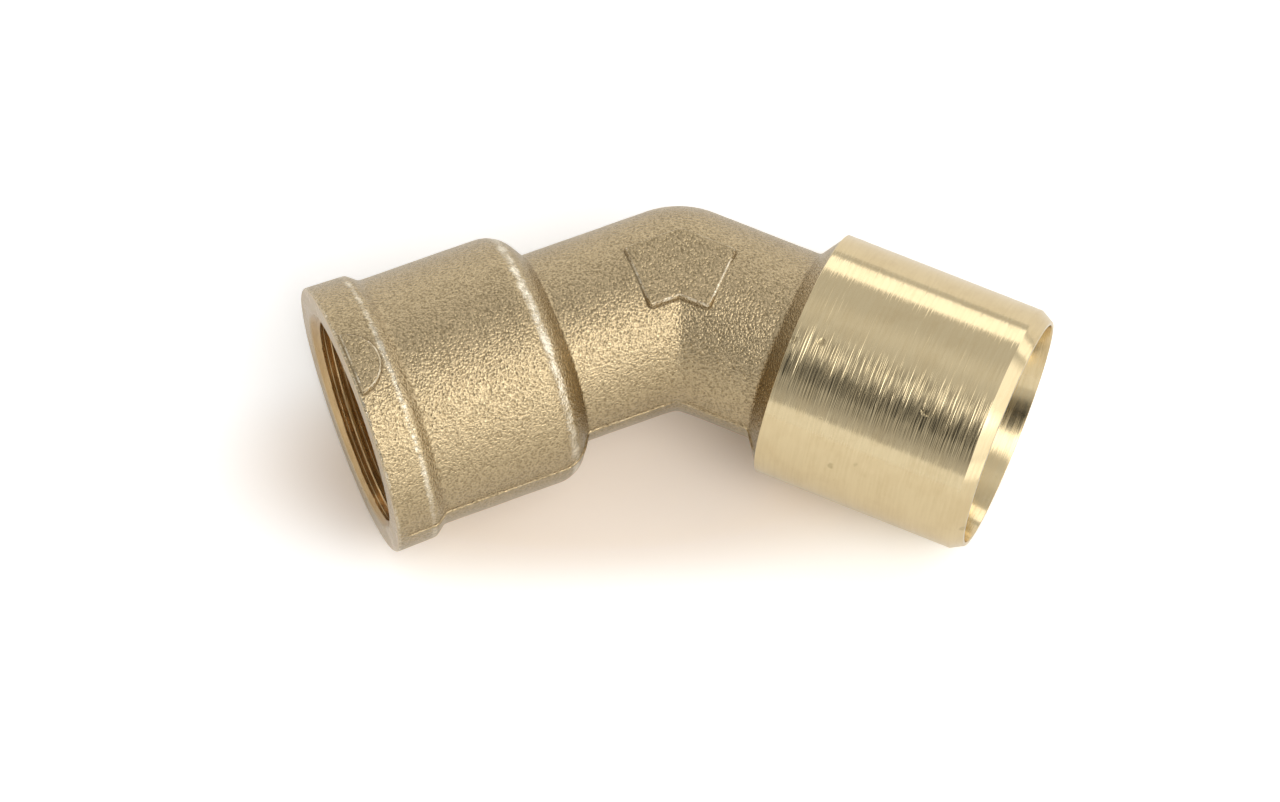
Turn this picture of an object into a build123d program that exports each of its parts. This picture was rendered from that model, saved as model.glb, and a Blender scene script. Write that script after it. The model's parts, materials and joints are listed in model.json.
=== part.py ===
"""A 45 degree pipe elbow, hot forged in brass and then machined at its two ends.

One arm ends in a female pipe thread with a reinforcing bead round its mouth. The other ends in a
plain turned cylinder, bored out as a cup for a copper tube. The elbow lies on its side, as it rests
on a bench: both arms' axes are in one level plane, which is also the parting plane of the forging.

The real elbow is a single piece of metal. Each node here is one zone of it, cut where the shape or
the finish changes, and neighbouring zones meet face to face.

Sizes are in millimetres. Along an arm, places are distances from the bend's centre, where the two
axes cross. The finished model has its lowest point at z = 0 and its box centred on the z axis.
"""
from build123d import *
import math
import os

# The bend and the two necks
BEND_ANGLE = 45.0
NECK_R = 18.75
WATERWAY_R = 15.5
BEND_END = 10.0

# The socket arm: a G 1 1/4 parallel pipe thread behind a beaded mouth
SOCKET_FACE = 67.0
BEAD_FRONT_R = 26.4
BEAD_BACK_R = 26.15
BEAD_END = 58.9
BEAD_FOOT = 56.7
BEAD_ZONE_END = 54.0
BARREL_R = 24.4
BARREL_END = 33.2
SOCKET_NECK_END = 25.0
SOCKET_SHOULDER_ROUND = 6.6
MOUTH_R = 21.5
MOUTH_DEPTH = 1.4

THREAD_PITCH = 2.309
THREAD_MAJOR_R = 20.955
THREAD_MINOR_R = 19.475
THREAD_LENGTH = 24.0
THREAD_FLANK = 27.5
DRILLED_LENGTH = 8.0
DRILL_CONE = 3.5

# The cup arm: a plain turned end, 48.3 outside, bored for 42 tube
CUP_FACE = 67.8
CUP_OUTER_R = 24.15
CUP_START = 25.8
CUP_LEDGE = 0.4
CUP_CHAMFER = 2.5
CUP_CHAMFER_DROP = 1.4
CUP_BORE_R = 21.05
CUP_DEPTH = 27.0
CUP_LEAD_LENGTH = 6.5
CUP_LEAD_R = 22.0
CUP_STEP_R = 18.4
CUP_STEP_LENGTH = 8.0
CUP_NECK_END = 21.6

# Raised pads for markings, and the trimmed flash left along the parting plane
PAD_RISE = 0.15
PAD_HALF_WIDTH = 6.6
PAD_LENGTH = 8.7
MOUTH_PAD_R = 6.4
MOUTH_PAD_OFFSET = 0.9
FLASH_HEIGHT = 1.1
FLASH_PROUD = 0.3
FLASH_FRONT_GAP = 0.6

HALF_BEND = BEND_ANGLE / 2
SOCKET_DIRECTION = Vector(1, 0, 0).rotate(Axis.Z, 180 + HALF_BEND)
CUP_DIRECTION = Vector(1, 0, 0).rotate(Axis.Z, -HALF_BEND)


def arm_plane(direction):
    """The upright plane through an arm's axis: x is the distance along the arm, y the radius."""
    return Plane(origin=(0, 0, 0), x_dir=direction, z_dir=direction.cross(Vector(0, 0, 1)))


def level_plane(direction):
    """The level plane through both axes: x is the distance along the arm, y is across it."""
    return Plane(origin=(0, 0, 0), x_dir=direction, z_dir=(0, 0, 1))


def turn(direction, outline):
    """The solid that a closed outline of edges, in (distance, radius), makes about an arm's axis."""
    return revolve(arm_plane(direction) * make_face(outline), Axis((0, 0, 0), direction), 360)


def rounded(*corners):
    """A closed outline from corners of (distance, radius, rounding)."""
    points = [corner[:2] for corner in corners]
    return FilletPolyline(*points, radius=[corner[2] for corner in corners], close=True)


def bead_outer():
    """The outside of the socket's mouth, from the face back to the barrel, as corners."""
    return [
        (SOCKET_FACE, BEAD_FRONT_R, 0.5),
        (BEAD_END, BEAD_BACK_R, 1.6),
        (BEAD_FOOT, BARREL_R, 1.8),
        (BEAD_ZONE_END, BARREL_R, 0),
    ]


def socket_shoulder_outer():
    """The outside of the socket's shoulder, from the barrel down to the neck, as corners."""
    slope_foot = SOCKET_NECK_END + 0.8
    slope = math.radians(57)
    corner = slope_foot + (BARREL_R - NECK_R) / math.tan(slope)
    return [
        (BARREL_END, BARREL_R, 0),
        (corner, BARREL_R, SOCKET_SHOULDER_ROUND),
        (slope_foot, NECK_R, 0.9),
        (SOCKET_NECK_END - 1.0, NECK_R, 0),
    ]


def cup_shoulder_outer():
    """The outside of the cup's shoulder, from the turned edge down to the neck, as corners."""
    return [
        (CUP_START, CUP_OUTER_R - CUP_LEDGE, 0),
        (CUP_NECK_END + 0.7, NECK_R, 1.6),
        (CUP_NECK_END - 1.2, NECK_R, 0),
    ]


def zone(direction, outer, inner):
    """One ring of the fitting, from its outer corners and its inner ones, listed the other way."""
    return turn(direction, rounded(*outer, *inner))


def blank(direction, outer):
    """The same outer corners as a solid bar, filled to the axis."""
    return turn(direction, rounded(*outer, (outer[-1][0], 0, 0), (outer[0][0], 0, 0)))


def make_mouth_bead():
    """The beaded mouth: its machined face, the countersink, and the thread's root bore."""
    inner = [
        (BEAD_ZONE_END, THREAD_MAJOR_R, 0),
        (countersink_distance(THREAD_MAJOR_R), THREAD_MAJOR_R, 0),
        (SOCKET_FACE, MOUTH_R, 0),
    ]
    return zone(SOCKET_DIRECTION, bead_outer(), inner)


def make_socket_barrel():
    """The barrel behind the bead: the root bore ends at the narrower hole drilled before threading."""
    thread_end = SOCKET_FACE - THREAD_LENGTH
    drilled_end = thread_end - DRILLED_LENGTH
    outer = [(BEAD_ZONE_END, BARREL_R, 0), (BARREL_END, BARREL_R, 0)]
    inner = [
        (BARREL_END, drill_cone_radius(BARREL_END), 0),
        (drilled_end, THREAD_MINOR_R, 0),
        (thread_end, THREAD_MINOR_R, 0),
        (thread_end, THREAD_MAJOR_R, 0),
        (BEAD_ZONE_END, THREAD_MAJOR_R, 0),
    ]
    return zone(SOCKET_DIRECTION, outer, inner)


def drill_cone_radius(distance):
    """The radius of the cone that joins the drilled hole to the waterway."""
    cone_top = SOCKET_FACE - THREAD_LENGTH - DRILLED_LENGTH
    share = min(1.0, (cone_top - distance) / DRILL_CONE)
    return THREAD_MINOR_R - share * (THREAD_MINOR_R - WATERWAY_R)


def make_socket_shoulder():
    """The rounded shoulder between the barrel and the neck, with the end of the drill cone inside."""
    cone_end = SOCKET_FACE - THREAD_LENGTH - DRILLED_LENGTH - DRILL_CONE
    inner = [
        (SOCKET_NECK_END - 1.0, WATERWAY_R, 0),
        (cone_end, WATERWAY_R, 0),
        (BARREL_END, drill_cone_radius(BARREL_END), 0),
    ]
    return zone(SOCKET_DIRECTION, socket_shoulder_outer(), inner)


def make_neck(direction, far_end):
    """A plain length of pipe between the bend and a shoulder."""
    outer = [(far_end, NECK_R, 0), (BEND_END, NECK_R, 0)]
    inner = [(BEND_END, WATERWAY_R, 0), (far_end, WATERWAY_R, 0)]
    return zone(direction, outer, inner)


def capsule(direction, radius, length):
    """A bar with a ball end centred on the bend."""
    top = (0, radius)
    outline = [
        ThreePointArc((-radius, 0), (-radius * math.sqrt(0.5), radius * math.sqrt(0.5)), top),
        Polyline(top, (length, radius), (length, 0), (-radius, 0)),
    ]
    return turn(direction, outline)


def bend_blank():
    """The bend as a solid: two round bars mitred on the inside and joined by a ball outside."""
    half = capsule(SOCKET_DIRECTION, NECK_R, BEND_END)
    half = split(half, bisect_by=Plane.YZ, keep=Keep.BOTTOM)
    return half + mirror(half, about=Plane.YZ)


def make_bend():
    """The hollow bend, with the same mitre and ball inside as out."""
    half = capsule(SOCKET_DIRECTION, NECK_R, BEND_END) - capsule(SOCKET_DIRECTION, WATERWAY_R, BEND_END)
    half = split(half, bisect_by=Plane.YZ, keep=Keep.BOTTOM)
    return half + mirror(half, about=Plane.YZ)


def make_cup_shoulder():
    """The forged shoulder that the turned end stands on."""
    inner = [(CUP_NECK_END - 1.2, WATERWAY_R, 0), (CUP_START, WATERWAY_R, 0)]
    return zone(CUP_DIRECTION, cup_shoulder_outer(), inner)


def make_turned_cup():
    """The turned end: a chamfered cylinder with a flared mouth, a tube bore and a stop for the tube."""
    tube_stop = CUP_FACE - CUP_DEPTH
    step_end = tube_stop - CUP_STEP_LENGTH
    outer = [
        (CUP_FACE, CUP_OUTER_R - CUP_CHAMFER_DROP, 0.2),
        (CUP_FACE - CUP_CHAMFER, CUP_OUTER_R, 0.2),
        (CUP_START, CUP_OUTER_R, 0.2),
    ]
    inner = [
        (CUP_START, WATERWAY_R, 0),
        (step_end - (CUP_STEP_R - WATERWAY_R), WATERWAY_R, 0),
        (step_end, CUP_STEP_R, 0),
        (tube_stop, CUP_STEP_R, 0),
        (tube_stop, CUP_BORE_R, 0),
        (CUP_FACE - CUP_LEAD_LENGTH, CUP_BORE_R, 0),
        (CUP_FACE, CUP_LEAD_R, 0),
    ]
    return zone(CUP_DIRECTION, outer, inner)


def make_pipe_thread():
    """The thread's ridge: a flat-topped tooth along a helix, cut off square behind and by the countersink."""
    depth = THREAD_MAJOR_R - THREAD_MINOR_R
    flank = depth * math.tan(math.radians(THREAD_FLANK))
    crest = (THREAD_PITCH - 2 * flank) / 2
    foot = crest + 2 * flank
    thread_end = SOCKET_FACE - THREAD_LENGTH
    start = SOCKET_DIRECTION * (thread_end - THREAD_PITCH)
    helix = Helix(
        pitch=THREAD_PITCH,
        height=THREAD_LENGTH + 2 * THREAD_PITCH,
        radius=THREAD_MAJOR_R,
        center=start,
        direction=SOCKET_DIRECTION,
    )
    outward = ((helix @ 0) - start).normalized()
    tooth_plane = Plane(origin=helix @ 0, x_dir=outward, z_dir=helix % 0)
    tooth = make_face(
        Polyline((-depth, -crest / 2), (-depth, crest / 2), (0, foot / 2), (0, -foot / 2), close=True)
    )
    ridge = sweep(tooth_plane * tooth, path=helix, is_frenet=True)
    inside_r = THREAD_MINOR_R - 1
    outside_r = THREAD_MAJOR_R + 1
    keep = [
        (thread_end, inside_r, 0),
        (thread_end, outside_r, 0),
        (countersink_distance(outside_r), outside_r, 0),
        (countersink_distance(inside_r), inside_r, 0),
    ]
    return ridge & turn(SOCKET_DIRECTION, rounded(*keep))


def countersink_distance(radius):
    """Where the countersink of the threaded mouth has this radius."""
    return SOCKET_FACE - MOUTH_DEPTH * (MOUTH_R - radius) / (MOUTH_R - THREAD_MINOR_R)


def make_marking_pad():
    """The flat pad on top of the bend: a band along both arms, with the corner between them filled."""
    top = NECK_R + PAD_RISE
    turn_angle = math.radians(HALF_BEND)
    side = PAD_HALF_WIDTH * math.sin(turn_angle)
    back = PAD_HALF_WIDTH * math.cos(turn_angle)
    corner = make_face(
        Polyline((0, 0), (side, back), (0, PAD_HALF_WIDTH / math.cos(turn_angle)), (-side, back), close=True)
    )
    pad = extrude(corner, top)
    for direction in (SOCKET_DIRECTION, CUP_DIRECTION):
        band = Rectangle(PAD_LENGTH, 2 * PAD_HALF_WIDTH, align=(Align.MIN, Align.CENTER))
        pad += extrude(level_plane(direction) * band, top)
    return pad - bend_blank()


def make_mouth_pad():
    """The flat half-round pad on top of the bead, cut off by the machined face."""
    disc = Pos(SOCKET_FACE, MOUTH_PAD_OFFSET) * Circle(MOUTH_PAD_R)
    trim = Pos(SOCKET_FACE - FLASH_FRONT_GAP, 0) * Rectangle(
        4 * MOUTH_PAD_R, 4 * MOUTH_PAD_R, align=(Align.MAX, Align.CENTER)
    )
    outline = level_plane(SOCKET_DIRECTION) * (disc & trim)
    return extrude(outline, BEAD_FRONT_R + PAD_RISE, dir=(0, 0, 1)) - blank(SOCKET_DIRECTION, bead_outer())


def flash_profile(direction, outer):
    """A level slice of one arm, wider than the metal by the height that the flash stands proud."""
    half = [(distance, radius + FLASH_PROUD) for distance, radius, _ in outer]
    mirrored = [(distance, -radius) for distance, radius in reversed(half)]
    return level_plane(direction) * make_face(Polyline(*half, *mirrored, close=True))


def make_flash(side):
    """The trimmed flash along one side of the forging: -1 inside the bend, +1 outside it."""
    socket_outer = bead_outer() + socket_shoulder_outer() + [(0, NECK_R, 0)]
    cup_outer = cup_shoulder_outer() + [(0, NECK_R, 0)]
    socket_outer[0] = (SOCKET_FACE - FLASH_FRONT_GAP, BEAD_FRONT_R, 0)
    ball = Circle(NECK_R + FLASH_PROUD)
    slab = flash_profile(SOCKET_DIRECTION, socket_outer) + flash_profile(CUP_DIRECTION, cup_outer) + ball
    flash = extrude(slab, FLASH_HEIGHT / 2, both=True)
    barrel = [(BEAD_ZONE_END, BARREL_R, 0), (BARREL_END, BARREL_R, 0)]
    necks = [(SOCKET_NECK_END, NECK_R, 0), (0, NECK_R, 0)]
    flash -= blank(SOCKET_DIRECTION, bead_outer())
    flash -= blank(SOCKET_DIRECTION, barrel)
    flash -= blank(SOCKET_DIRECTION, socket_shoulder_outer())
    flash -= blank(SOCKET_DIRECTION, necks)
    flash -= blank(CUP_DIRECTION, cup_shoulder_outer())
    flash -= blank(CUP_DIRECTION, necks)
    flash -= Sphere(NECK_R)
    strips = flash.solids().sort_by(Axis.Y)
    return strips[0] if side < 0 else strips[-1]


def make_nodes():
    """Every node by name, with the bend's centre at the origin."""
    return {
        "mouth_bead": make_mouth_bead(),
        "mouth_pad": make_mouth_pad(),
        "pipe_thread": make_pipe_thread(),
        "socket_barrel": make_socket_barrel(),
        "socket_shoulder": make_socket_shoulder(),
        "socket_neck": make_neck(SOCKET_DIRECTION, SOCKET_NECK_END - 1.0),
        "bend": make_bend(),
        "marking_pad": make_marking_pad(),
        "cup_neck": make_neck(CUP_DIRECTION, CUP_NECK_END - 1.2),
        "cup_shoulder": make_cup_shoulder(),
        "turned_cup": make_turned_cup(),
        "flash_inside_bend": make_flash(-1),
        "flash_outside_bend": make_flash(+1),
    }


def main():
    nodes = make_nodes()
    box = Compound(children=[Compound(node.solids()) for node in nodes.values()]).bounding_box()
    centre = box.center()
    shift = Pos(-centre.X, -centre.Y, -box.min.Z)
    os.makedirs("parts", exist_ok=True)
    for name, node in nodes.items():
        placed = Compound(node.solids()).moved(shift)
        export_step(placed, os.path.join("parts", name + ".step"))
    print("bend centre at", -centre.X, -centre.Y, -box.min.Z)
    print("box", box.size)


main()
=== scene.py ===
"""Looks for a forged brass 45 degree pipe elbow with a threaded socket and a turned tube cup.

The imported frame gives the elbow's place: its mounts fix the bend's centre and the two arms' axes.
Every zone of the forging gets its own finely divided skin, worked out in millimetres
about the bend's centre and then placed in the frame. The skins meet at the same cuts as the frame's
nodes, so the forged surface runs on from one to the next.
"""

from __future__ import annotations

import json
import logging
import math
from dataclasses import dataclass
from enum import Enum
from typing import Callable, Sequence

import bpy
import numpy as np
from mathutils import Matrix, Vector

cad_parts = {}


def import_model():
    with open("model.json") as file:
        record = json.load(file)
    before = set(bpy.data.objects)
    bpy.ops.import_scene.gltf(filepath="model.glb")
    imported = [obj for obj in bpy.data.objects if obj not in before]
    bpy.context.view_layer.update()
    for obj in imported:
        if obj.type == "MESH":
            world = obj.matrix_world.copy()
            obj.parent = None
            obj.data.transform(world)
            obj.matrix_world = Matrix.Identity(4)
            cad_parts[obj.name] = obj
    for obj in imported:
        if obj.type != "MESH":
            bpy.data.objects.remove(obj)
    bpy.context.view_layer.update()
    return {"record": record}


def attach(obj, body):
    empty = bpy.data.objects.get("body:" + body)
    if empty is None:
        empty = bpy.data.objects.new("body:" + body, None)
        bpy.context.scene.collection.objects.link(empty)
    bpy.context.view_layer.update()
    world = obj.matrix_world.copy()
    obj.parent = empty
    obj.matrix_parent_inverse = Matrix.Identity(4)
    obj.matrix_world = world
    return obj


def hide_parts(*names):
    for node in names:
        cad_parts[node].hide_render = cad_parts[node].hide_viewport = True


LOG = logging.getLogger("elbow")
MM = 0.001
ARC_STEP = math.radians(9)
UP = np.array([0.0, 0.0, 1.0])
BODY = "root"
WRAP = "wrap"
NECK_RADIUS = 18.75
WATERWAY_RADIUS = 15.5
BEND_CUT = 10.0

Corner = tuple[float, float, float]
Colour = tuple[float, float, float, float]
Material = bpy.types.Material
Tree = bpy.types.NodeTree
Gate = bpy.types.NodeOutputs
Link = bpy.types.NodeSocket


class Slot(Enum):
    """The record's material slots."""

    FORGED = "forged_brass"
    TURNED = "turned_brass"
    THREAD = "cut_thread_brass"


# ------------------------------------------------------------
# Places: the bend, its two arms, and curves in an arm's (distance, radius) plane
# ------------------------------------------------------------


@dataclass(frozen=True)
class Arm:
    """One arm of the elbow, as a cylinder of coordinates about its axis, in millimetres.

    Args:
        direction: unit vector from the bend's centre along the arm.
        outward: unit vector in the level plane, square to the arm, towards the bend's outside.
    """

    direction: np.ndarray
    outward: np.ndarray

    @classmethod
    def along(cls, direction: Sequence[float]) -> "Arm":
        """The arm with this direction; its outward side is the one that faces +Y."""
        axis = np.array(direction, dtype=float)
        axis /= np.linalg.norm(axis)
        across = np.array([-axis[1], axis[0], 0.0])
        return cls(axis, across if across[1] > 0 else -across)

    @property
    def turn(self) -> float:
        """The arm's angle about the upright axis, in radians."""
        return math.atan2(self.direction[1], self.direction[0])

    @property
    def handed(self) -> float:
        """+1 where the angle from outward to up turns right-handed about the arm, else -1."""
        return float(np.sign(np.dot(np.cross(self.outward, UP), self.direction)))

    def place(self, distance: np.ndarray, radius: np.ndarray | float, angle: np.ndarray) -> np.ndarray:
        """Points at a distance along the arm, a radius from it and an angle round it.

        Returns:
            distance * direction + radius * (cos(angle) * outward + sin(angle) * up).
        """
        distance, radius, angle = np.broadcast_arrays(distance, radius, angle)
        return (
            distance[..., None] * self.direction
            + (radius * np.cos(angle))[..., None] * self.outward
            + (radius * np.sin(angle))[..., None] * UP
        )


@dataclass(frozen=True)
class Layout:
    """Where the elbow stands in the frame: the bend's centre in metres, and the arms."""

    centre: np.ndarray
    socket: Arm
    cup: Arm
    turned_radius: float

    @classmethod
    def from_record(cls, record: dict) -> "Layout":
        """Finds the bend's centre as the point where the axes of the two arms' mounts cross."""
        mounts = {mount["name"]: mount for mount in record["mounts"]}
        socket, cup = mounts["threaded_socket"], mounts["tube_cup"]
        start, other = np.array(socket["pos_m"]), np.array(cup["pos_m"])
        sides = np.array([socket["axis"], [-c for c in cup["axis"]]]).T
        along = np.linalg.lstsq(sides, other - start, rcond=None)[0][0]
        centre = start + along * np.array(socket["axis"])
        radius = mounts["turned_end"]["dims"]["r_mm"]
        return cls(centre, Arm.along(socket["axis"]), Arm.along(cup["axis"]), radius)

    def to_frame(self, points: np.ndarray) -> np.ndarray:
        """Points in millimetres about the bend's centre, as points in the frame."""
        return self.centre + points * MM


def run_with_rounds(corners: Sequence[Corner], step: float) -> np.ndarray:
    """A path through corners of (distance, radius, rounding), as closely spaced points.

    Each rounding is an arc that touches the two straight runs beside its corner. Its centre lies on
    the corner's bisector, and its arc is divided into steps of at most ARC_STEP.

    Args:
        corners: the corners in order; the first and the last are not rounded.
        step: the longest allowed spacing on the straight runs.

    Returns:
        An array of (distance, radius) rows.
    """
    spots = [np.array(corner[:2], dtype=float) for corner in corners]
    pieces: list[np.ndarray] = [spots[0][None]]
    for before, spot, after, (_, _, rounding) in zip(spots, spots[1:], spots[2:], corners[1:-1]):
        if rounding <= 0:
            pieces.append(spot[None])
            continue
        back = (before - spot) / np.linalg.norm(before - spot)
        ahead = (after - spot) / np.linalg.norm(after - spot)
        half = math.acos(np.clip(np.dot(back, ahead), -1, 1)) / 2
        middle = (back + ahead) / np.linalg.norm(back + ahead)
        hub = spot + middle * rounding / math.sin(half)
        first = spot + back * rounding / math.tan(half) - hub
        last = spot + ahead * rounding / math.tan(half) - hub
        turn = math.atan2(first[0] * last[1] - first[1] * last[0], float(np.dot(first, last)))
        angles = np.linspace(0, turn, max(3, math.ceil(abs(turn) / ARC_STEP) + 1))
        across = np.array([-first[1], first[0]])
        pieces.append(hub + np.cos(angles)[:, None] * first + np.sin(angles)[:, None] * across)
    pieces.append(spots[-1][None])
    rough = np.concatenate(pieces)
    fine: list[np.ndarray] = []
    for start, end in zip(rough, rough[1:]):
        count = max(1, math.ceil(np.linalg.norm(end - start) / step))
        fine.append(start + (end - start) * (np.arange(count) / count)[:, None])
    return np.concatenate([*fine, rough[-1][None]])


def forging_waviness(points: np.ndarray) -> np.ndarray:
    """The slow unevenness of a forged skin, in millimetres: a sum of five plane waves, up to 0.04."""
    waves = np.array(
        [
            [0.31, 0.12, 0.22, 0.9],
            [-0.17, 0.35, 0.11, 2.3],
            [0.09, -0.24, 0.41, 4.1],
            [0.52, 0.33, -0.19, 5.2],
            [-0.44, 0.21, 0.47, 1.4],
        ]
    )
    heights = np.array([0.012, 0.010, 0.009, 0.006, 0.005])
    return np.sin(points @ waves[:, :3].T + waves[:, 3]) @ heights


def smooth(low: float, high: float, value: np.ndarray) -> np.ndarray:
    """A smooth step: 0 below low, 1 above high, and 3t^2 - 2t^3 between them."""
    t = np.clip((value - low) / (high - low), 0, 1)
    return t * t * (3 - 2 * t)


# ------------------------------------------------------------
# Meshes
# ------------------------------------------------------------


@dataclass
class Skin:
    """A closed mesh in the making, in millimetres about the bend's centre.

    Args:
        name: the finished piece's name.
        points: a grid of points, rows by columns; the columns always close on themselves.
        rows_close: whether the last row joins the first; otherwise each end row is capped.
        wear_highlight_shade: how much each point is worn and given a painted highlight, from 0 to 1, one
            value per row or per point; below zero, how much painted shade it takes.
        finish_of_row: which of the piece's materials each strip between two rows takes.
    """

    name: str
    points: np.ndarray
    rows_close: bool = True
    wear_highlight_shade: np.ndarray | None = None
    finish_of_row: np.ndarray | None = None
    sharp_angle: float = 38.0

    def faces(self) -> tuple[np.ndarray, np.ndarray]:
        """Quads as rows of four point numbers, and the strip that each one lies in."""
        rows, columns = self.points.shape[:2]
        strips = rows if self.rows_close else rows - 1
        row, column = np.meshgrid(np.arange(strips), np.arange(columns), indexing="ij")
        below = (row + 1) % rows
        right = (column + 1) % columns
        this, following = row * columns, below * columns
        quads = np.stack([this + column, this + right, following + right, following + column], -1)
        return quads.reshape(-1, 4), row.ravel()

    def build(self, layout: Layout, materials: Sequence[Material]) -> bpy.types.Object:
        """Makes the mesh and its object, with every face pointing outwards.

        The sum over faces of corner . (edge x edge) is six times the enclosed volume, and where it is
        negative all faces are turned round.

        Args:
            layout: places the points in the frame.
            materials: the piece's materials, in the order that finish_of_row counts them.

        Returns:
            The new object, linked to the scene.
        """
        quads, strip = self.faces()
        flat = self.points.reshape(-1, 3)
        a, b, c, d = (flat[quads[:, i]] for i in range(4))
        volume = np.einsum("ij,ij->", a, np.cross(b, c)) + np.einsum("ij,ij->", a, np.cross(c, d))
        rows, columns = self.points.shape[:2]
        polygons: list[list[int]] = []
        if not self.rows_close:
            caps = [list(range(columns))[::-1], [(rows - 1) * columns + i for i in range(columns)]]
            for cap in caps:
                hub, ring = flat[cap].mean(axis=0), flat[cap]
                volume += np.einsum("ij,ij->", np.cross(ring, np.roll(ring, -1, axis=0)), hub[None])
            polygons = caps
        if volume < 0:
            quads = quads[:, ::-1]
            polygons = [cap[::-1] for cap in polygons]
        mesh = bpy.data.meshes.new(self.name)
        mesh.from_pydata(layout.to_frame(flat).tolist(), [], quads.tolist() + polygons)
        for material in materials:
            mesh.materials.append(material)
        if self.finish_of_row is not None:
            index = np.zeros(len(mesh.polygons), dtype=np.int32)
            index[: len(quads)] = np.asarray(self.finish_of_row, dtype=np.int32)[strip]
            mesh.polygons.foreach_set("material_index", index)
        mesh.polygons.foreach_set("use_smooth", np.ones(len(mesh.polygons), dtype=bool))
        wear_highlight_shade = np.zeros(self.points.shape[:2]) if self.wear_highlight_shade is None else np.asarray(self.wear_highlight_shade, dtype=float)
        if wear_highlight_shade.ndim == 1:
            wear_highlight_shade = np.repeat(wear_highlight_shade[:, None], columns, axis=1)
        # This attribute carries wear with a painted highlight above zero, and painted shade below zero.
        layer = mesh.attributes.new("wear_highlight_shade", "FLOAT", "POINT")
        layer.data.foreach_set("value", wear_highlight_shade.astype(np.float32).ravel())
        self.unwrap(mesh, quads)
        mesh.set_sharp_from_angle(angle=math.radians(self.sharp_angle))
        mesh.update()
        piece = bpy.data.objects.new(self.name, mesh)
        bpy.context.collection.objects.link(piece)
        return piece

    def unwrap(self, mesh: bpy.types.Mesh, quads: np.ndarray) -> None:
        """Gives the mesh a UV map whose U runs along the columns and whose V runs along the rows."""
        rows, columns = self.points.shape[:2]
        row, column = np.divmod(quads, columns)
        row = np.where(row < row.max(axis=1, keepdims=True) - 1, row + rows, row)
        column = np.where(column < column.max(axis=1, keepdims=True) - 1, column + columns, column)
        spots = np.stack([column / columns, row / rows], -1).reshape(-1, 2)
        everywhere = np.zeros((len(mesh.loops), 2), dtype=np.float32)
        everywhere[: len(spots)] = spots
        mesh.uv_layers.new(name=WRAP).data.foreach_set("uv", everywhere.ravel())


def put_in_frame(piece: bpy.types.Object, node: str) -> None:
    """Lets a finished piece ride with the elbow and stand for its node, and logs it."""
    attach(piece, BODY)
    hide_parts(node)
    LOG.info("%s stands for %s: %d faces", piece.name, node, len(piece.data.polygons))


# ------------------------------------------------------------
# Shader tools
# ------------------------------------------------------------


@dataclass
class NodeSheet:
    """A node tree with short calls that add a node and link it in one go."""

    tree: Tree

    def add(self, kind: str, inputs: dict | None = None, **settings: object) -> bpy.types.Node:
        """Adds a node, sets its properties, and feeds its inputs with values or links."""
        node = self.tree.nodes.new(kind)
        for name, value in settings.items():
            setattr(node, name, value)
        for key, value in (inputs or {}).items():
            self.feed(node.inputs[key], value)
        return node

    def feed(self, socket: bpy.types.NodeSocket, value: object) -> None:
        """Links an output to the socket, or sets the socket's own value."""
        if isinstance(value, bpy.types.NodeSocket):
            self.tree.links.new(value, socket)
        else:
            socket.default_value = value

    def math(self, operation: str, *values: object) -> Link:
        """The output of a Math node on these values."""
        return self.add("ShaderNodeMath", dict(enumerate(values)), operation=operation).outputs[0]

    def times(self, first: object, second: object) -> Link:
        """A product."""
        return self.math("MULTIPLY", first, second)

    def plus(self, first: object, second: object) -> Link:
        """A sum."""
        return self.math("ADD", first, second)

    def give(self, **values: object) -> None:
        """Feeds the group's outputs by their names."""
        for name, value in values.items():
            self.feed(self.tree.nodes["out"].inputs[name], value)

    def scaled(self, position: Link, factor: object) -> Link:
        """A vector times a number."""
        node = self.vector("SCALE", position)
        self.feed(node.inputs["Scale"], factor)
        return node.outputs[0]

    def bump(self, height: Link, depth: float, under: Link | None = None, invert: bool = False) -> Link:
        """The normal of a bump with its depth in millimetres, on top of another normal if given."""
        inputs = {"Height": height, "Strength": 1.0, "Distance": depth * MM}
        if under is not None:
            inputs["Normal"] = under
        return self.add("ShaderNodeBump", inputs, invert=invert).outputs[0]

    def vector(self, operation: str, *values: object) -> bpy.types.Node:
        """A Vector Math node on these values."""
        return self.add("ShaderNodeVectorMath", dict(enumerate(values)), operation=operation)

    def remap(self, value: Link, low: object, high: object, start: float = 0.0, end: float = 1.0) -> Link:
        """Maps low..high to start..end along a smooth step, clamped at both ends."""
        inputs = {"Value": value, "From Min": low, "From Max": high, "To Min": start, "To Max": end}
        return self.add("ShaderNodeMapRange", inputs, interpolation_type="SMOOTHSTEP").outputs[0]

    def mix(self, share: object, first: object, second: object) -> Link:
        """A colour between two colours."""
        node = self.add("ShaderNodeMix", data_type="RGBA")
        self.feed(node.inputs["Factor"], share)
        self.feed(node.inputs[6], first)
        self.feed(node.inputs[7], second)
        return node.outputs[2]

    def noise(self, position: Link, scale: float, detail: float, roughness: float) -> Link:
        """The value of a three-dimensional noise, about 0.5 on average."""
        inputs = {"Vector": position, "Scale": scale, "Detail": detail, "Roughness": roughness}
        return self.add("ShaderNodeTexNoise", inputs).outputs[0]

    def group(self, tree: Tree, inputs: dict) -> bpy.types.Node:
        """Places a node group with its own values."""
        node = self.tree.nodes.new("ShaderNodeGroup")
        node.node_tree = tree
        for key, value in inputs.items():
            self.feed(node.inputs[key], value)
        return node


FLOAT = "NodeSocketFloat"
VECTOR = "NodeSocketVector"


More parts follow.
